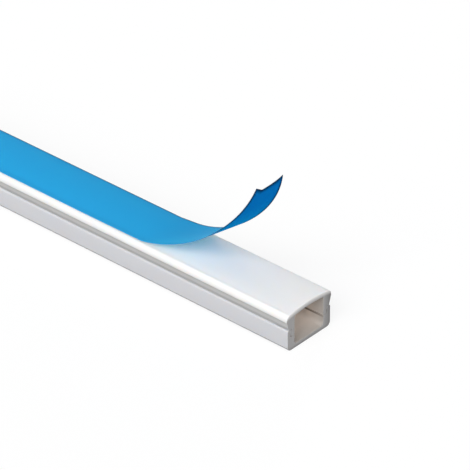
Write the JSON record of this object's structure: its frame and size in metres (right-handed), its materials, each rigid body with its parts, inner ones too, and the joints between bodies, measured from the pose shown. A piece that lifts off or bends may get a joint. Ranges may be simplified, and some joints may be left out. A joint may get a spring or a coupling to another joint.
{
  "type": "cord cover raceway",
  "caption": "Slim white raceway stock for hiding a cord on a wall: a base channel, a crowned clip-on cover, and a blue protective film peeled back from the cover at one end.",
  "frame": {"origin": "on the flat back of the base channel, at the middle of its length and width", "axes": "+X along the length towards the end where the film is peeled back, +Z out of the wall through the cover"},
  "size_m": [0.4, 0.015, 0.0368],
  "materials": {
    "base_channel": "white extruded plastic, satin",
    "cover": "white extruded plastic, smooth with a low gloss",
    "protective_film": "thin clear blue film"
  },
  "bodies": {
    "root": {"base_channel": "base_channel", "cover": "cover", "protective_film": "protective_film"}
  },
  "joints": []
}
